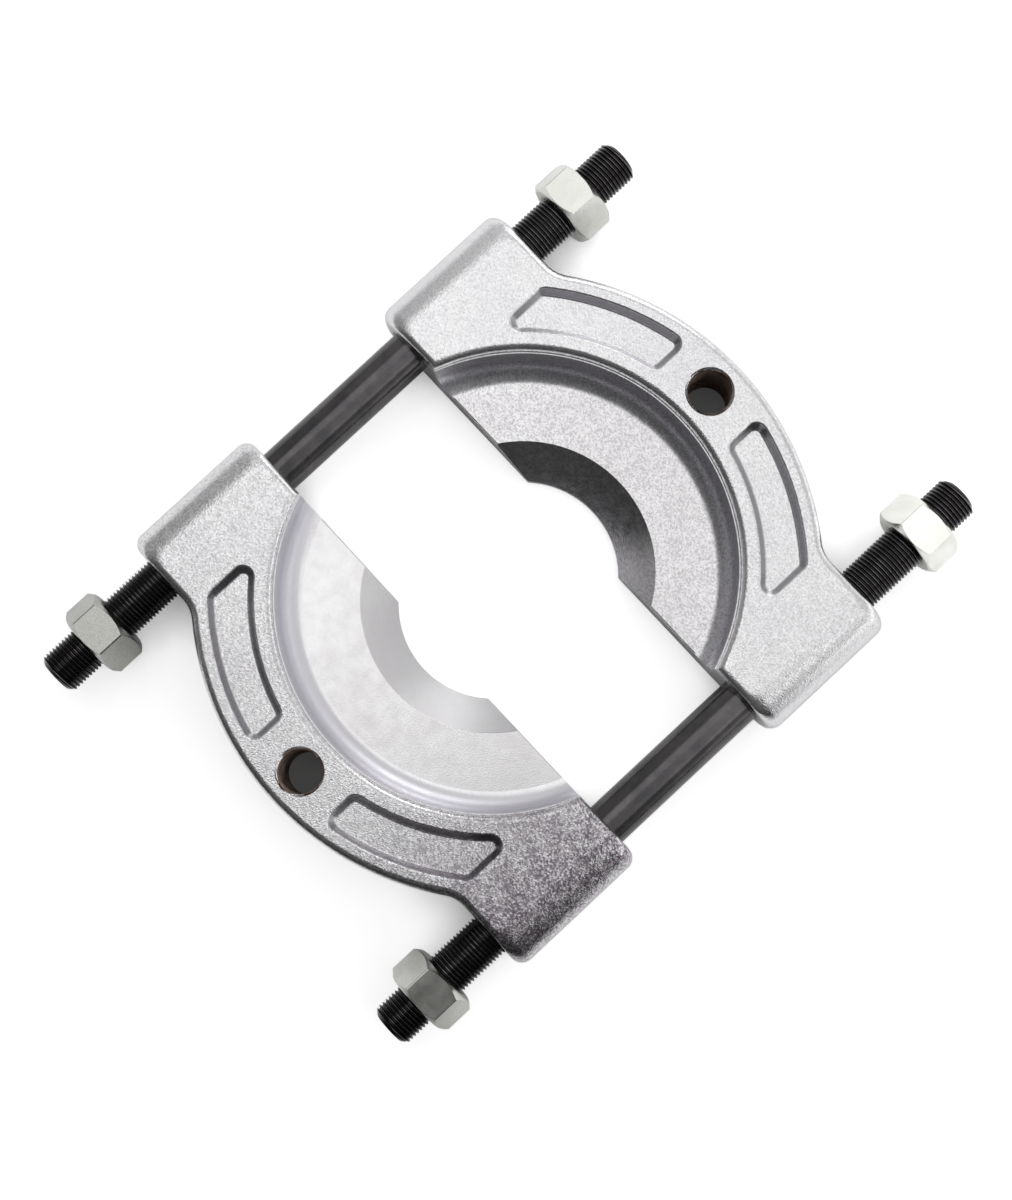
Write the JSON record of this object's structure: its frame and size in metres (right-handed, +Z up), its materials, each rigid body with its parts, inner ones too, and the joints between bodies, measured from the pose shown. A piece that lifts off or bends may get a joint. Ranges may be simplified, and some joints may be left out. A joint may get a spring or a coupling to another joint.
{
  "type": "bearing separator",
  "caption": "Bearing separator: two forged half-plates with knife edges round a central mouth, drawn together by nuts on two threaded studs that run through the plates' ears.",
  "frame": {"origin": "on the plane of the half-plates' undersides, midway between their parting faces and midway between the two studs", "axes": "+X along the studs towards the right half-plate, +Y across towards the rear stud, +Z up through the plates from their flat undersides"},
  "size_m": [0.2692, 0.1966, 0.032],
  "materials": {
    "forged_plate": "bright zinc-nickel plating over a fine forged grain, semi-gloss",
    "black_stud": "black oxide, semi-gloss",
    "zinc_nut": "bright zinc plating, satin"
  },
  "bodies": {
    "left_jaw": {"left_jaw": "forged_plate"},
    "right_jaw": {"right_jaw": "forged_plate"},
    "rear_stud": {"rear_stud": "black_stud"},
    "front_stud": {"front_stud": "black_stud"},
    "rear_right_nut": {"rear_right_nut": "zinc_nut"},
    "front_right_nut": {"front_right_nut": "zinc_nut"},
    "rear_left_nut": {"rear_left_nut": "zinc_nut"},
    "front_left_nut": {"front_left_nut": "zinc_nut"}
  },
  "joints": [
    {"name": "right_jaw_slide", "type": "slide", "parent": "left_jaw", "child": "right_jaw", "axis": [1, 0, 0], "range_m": [-0.0617, 0.0151]},
    {"name": "rear_stud_slide", "type": "slide", "parent": "left_jaw", "child": "rear_stud", "axis": [1, 0, 0], "range_m": [-0.0151, 0.0198]},
    {"name": "front_stud_slide", "type": "slide", "parent": "left_jaw", "child": "front_stud", "axis": [1, 0, 0], "range_m": [-0.0225, 0.0192]},
    {"name": "rear_right_nut_spin", "type": "hinge", "parent": "rear_stud", "child": "rear_right_nut", "pos_m": [0.10781, 0.08277, 0.016], "axis": [1, 0, 0], "continuous": true},
    {"name": "front_right_nut_spin", "type": "hinge", "parent": "front_stud", "child": "front_right_nut", "pos_m": [0.11521, -0.08277, 0.016], "axis": [1, 0, 0], "continuous": true},
    {"name": "rear_left_nut_spin", "type": "hinge", "parent": "rear_stud", "child": "rear_left_nut", "pos_m": [-0.11251, 0.08277, 0.016], "axis": [1, 0, 0], "continuous": true},
    {"name": "front_left_nut_spin", "type": "hinge", "parent": "front_stud", "child": "front_left_nut", "pos_m": [-0.11191, -0.08277, 0.016], "axis": [1, 0, 0], "continuous": true}
  ]
}
